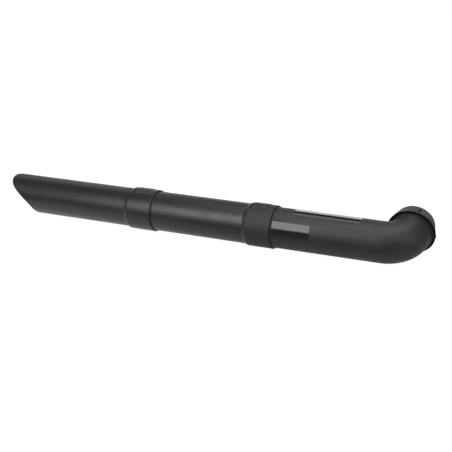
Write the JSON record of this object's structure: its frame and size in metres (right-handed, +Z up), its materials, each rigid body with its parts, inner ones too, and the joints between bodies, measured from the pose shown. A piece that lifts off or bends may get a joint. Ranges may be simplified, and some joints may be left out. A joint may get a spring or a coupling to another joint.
{
  "type": "sectional suction tube",
  "caption": "Sectional twist-lock air tube with a slanted mouth and an elbow that ends in a rotating, tapered locking collar.",
  "frame": {"origin": "centre of the model's footprint box, on the floor that the tube lies on", "axes": "+X runs along the tubes from the slanted mouth to the elbow, +Y is the side that the outlet points to, +Z is up"},
  "size_m": [1.0838, 0.1468, 0.1118],
  "materials": {
    "tube_plastic": "satin black moulded plastic with a fine grain",
    "collar_plastic": "matt black moulded plastic",
    "seal_rubber": "dull black rubber",
    "clip_plastic": "plain black plastic",
    "label_film": "printed film with lilac-grey and black stripes",
    "gloss_film": "smooth glossy black film"
  },
  "bodies": {
    "rear": {"elbow_tube": "tube_plastic", "rear_coupling_seal": "seal_rubber", "outlet_seal": "seal_rubber", "retaining_ring": "clip_plastic", "tube_label": "label_film", "gloss_patch": "gloss_film"},
    "middle": {"middle_tube": "tube_plastic", "front_coupling_seal": "seal_rubber"},
    "front": {"front_tube": "tube_plastic"},
    "collar": {"locking_collar": "collar_plastic"}
  },
  "joints": [
    {"name": "rear_coupling_twist", "type": "hinge", "parent": "rear", "child": "middle", "pos_m": [0.18353, -0.02223, 0.0512], "axis": [1, 0, 0], "range_deg": [0, 22]},
    {"name": "front_coupling_twist", "type": "hinge", "parent": "middle", "child": "front", "pos_m": [-0.12569, -0.02223, 0.0512], "axis": [1, 0, 0], "range_deg": [0, 22]},
    {"name": "collar_turn", "type": "hinge", "parent": "rear", "child": "collar", "pos_m": [0.48523, 0.02846, 0.05585], "axis": [0, 0.9958, 0.0913], "continuous": true}
  ]
}
